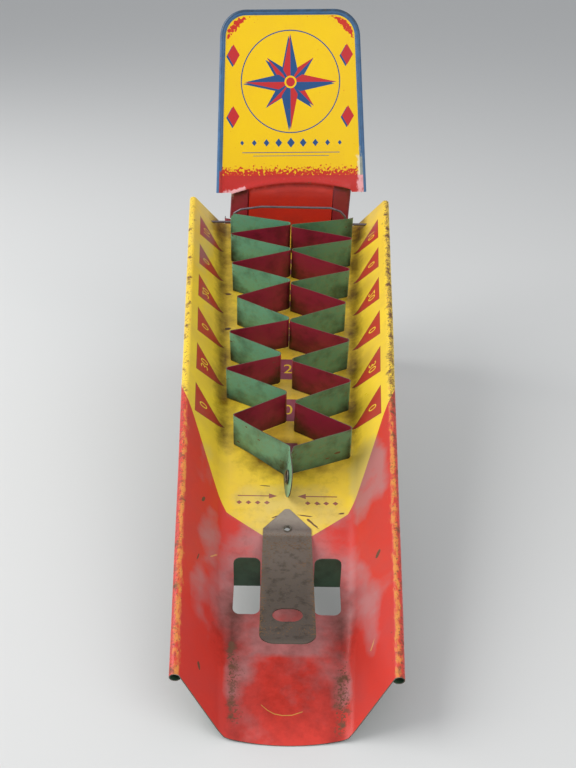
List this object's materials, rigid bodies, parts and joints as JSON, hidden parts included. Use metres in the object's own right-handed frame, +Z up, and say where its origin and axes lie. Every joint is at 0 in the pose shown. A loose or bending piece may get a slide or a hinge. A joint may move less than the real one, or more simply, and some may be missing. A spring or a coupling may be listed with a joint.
{
  "type": "tabletop marble game",
  "caption": "Sheet-metal marble game: a tapered chute with lift-up zigzag pockets, a leaf-spring shooter and a sign board on its rear leg.",
  "frame": {"origin": "under the middle of the toy, on the table: centre of the bounding box's bottom face", "axes": "+Y from the front lip to the sign at the rear, +Z up, +X to the player's right"},
  "size_m": [0.1476, 0.4426, 0.2629],
  "materials": {
    "chute_litho": "printed and varnished tinplate, worn",
    "stand_litho": "printed and varnished tinplate, worn",
    "divider_litho": "printed tinplate, worn along the edges",
    "wire_steel": "dull drawn wire",
    "spring_steel": "dull brown-grey spring strip",
    "eyelet_steel": "tarnished plated steel"
  },
  "bodies": {
    "root": {"chute": "chute_litho", "back_stand": "stand_litho", "hinge_wire": "wire_steel", "spring_root": "spring_steel", "spring_eyelet": "eyelet_steel"},
    "divider_frame": {"left_divider": "divider_litho", "right_divider": "divider_litho", "lift_tab_eyelet": "eyelet_steel"},
    "spring_arm": {"spring_arm": "spring_steel"}
  },
  "joints": [
    {"name": "divider_lift", "type": "hinge", "parent": "root", "child": "divider_frame", "pos_m": [0, 0.17594, 0.11744], "axis": [-1, 0, 0], "range_deg": [0, 60]},
    {"name": "spring_press", "type": "hinge", "parent": "root", "child": "spring_arm", "pos_m": [0, -0.10723, 0.03194], "axis": [1, 0, 0], "range_deg": [0, 17], "stiffness_Nm_per_rad": 1.2}
  ]
}
